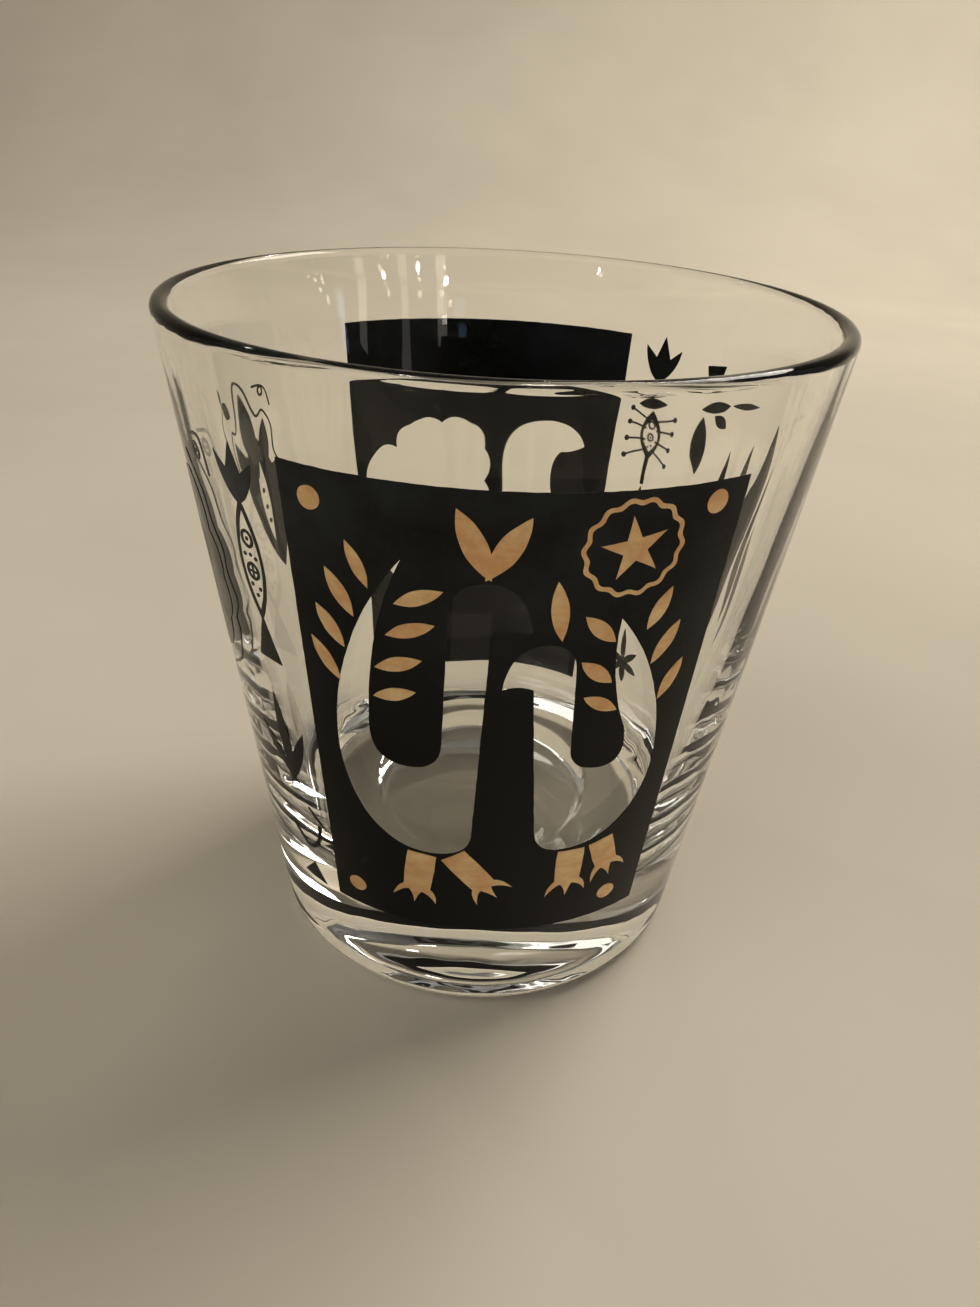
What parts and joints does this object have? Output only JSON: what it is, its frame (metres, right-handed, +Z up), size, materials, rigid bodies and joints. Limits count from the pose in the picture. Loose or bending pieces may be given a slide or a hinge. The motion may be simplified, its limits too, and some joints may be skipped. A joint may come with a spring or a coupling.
{
  "type": "shot glass",
  "caption": "Tapered clear shot glass with a thick base, printed outside with black enamel panels of birds, gold leaf and star accents and small black side figures.",
  "frame": {"origin": "centre of the bearing ring under the base, in the plane the glass stands on", "axes": "+Z up through the mouth, -Y towards the front panel with the two birds, +X to the right of that panel seen from the front"},
  "size_m": [0.052, 0.052, 0.0563],
  "materials": {
    "clear_glass": "clear, fire-polished, faint smudges",
    "black_enamel": "glossy fired enamel",
    "gold_enamel": "satin metallic tan-gold print"
  },
  "bodies": {
    "root": {"front_corner_dot_1": "gold_enamel", "front_corner_dot_2": "gold_enamel", "front_corner_dot_3": "gold_enamel", "front_corner_dot_4": "gold_enamel", "front_panel_black": "black_enamel", "front_pillar_base": "black_enamel", "front_pillar_fan": "black_enamel", "front_pillar_flower": "black_enamel", "front_pillar_hook": "black_enamel", "glass_body": "clear_glass", "hand_leaf": "black_enamel", "hand_leaf_contour": "black_enamel", "rear_corner_dot_1": "gold_enamel", "rear_corner_dot_2": "gold_enamel", "rear_corner_dot_3": "gold_enamel", "rear_corner_dot_4": "gold_enamel", "rear_panel_black": "black_enamel", "rear_pillar_pod": "black_enamel", "rear_pillar_stand": "black_enamel", "rear_pillar_tulip": "black_enamel", "rear_tree_trunk": "gold_enamel", "short_bird_crest": "gold_enamel", "short_bird_foot_1": "gold_enamel", "short_bird_foot_2": "gold_enamel", "short_bird_inner_leaf_1": "gold_enamel", "short_bird_inner_leaf_2": "gold_enamel", "short_bird_inner_leaf_3": "gold_enamel", "short_bird_outer_leaf_1": "gold_enamel", "short_bird_outer_leaf_2": "gold_enamel", "short_bird_outer_leaf_3": "gold_enamel", "side_blade_1": "black_enamel", "side_blade_2": "black_enamel", "side_blade_3": "black_enamel", "side_blade_4": "black_enamel", "side_blade_5": "black_enamel", "side_blunt_leaf": "black_enamel", "side_burst": "black_enamel", "side_cloud": "black_enamel", "side_cloud_contour": "black_enamel", "side_hook": "black_enamel", "side_hook_ring": "black_enamel", "side_loose_leaf_1": "black_enamel", "side_loose_leaf_2": "black_enamel", "side_loose_leaf_3": "black_enamel", "side_loose_leaf_4": "black_enamel", "side_small_hook": "black_enamel", "side_sprig": "black_enamel", "sun_ring": "gold_enamel", "sun_star": "gold_enamel", "tall_bird_crest": "gold_enamel", "tall_bird_foot_1": "gold_enamel", "tall_bird_foot_2": "gold_enamel", "tall_bird_inner_leaf_1": "gold_enamel", "tall_bird_inner_leaf_2": "gold_enamel", "tall_bird_inner_leaf_3": "gold_enamel", "tall_bird_inner_leaf_4": "gold_enamel", "tall_bird_outer_leaf_1": "gold_enamel", "tall_bird_outer_leaf_2": "gold_enamel", "tall_bird_outer_leaf_3": "gold_enamel", "tall_bird_outer_leaf_4": "gold_enamel"}
  },
  "joints": []
}
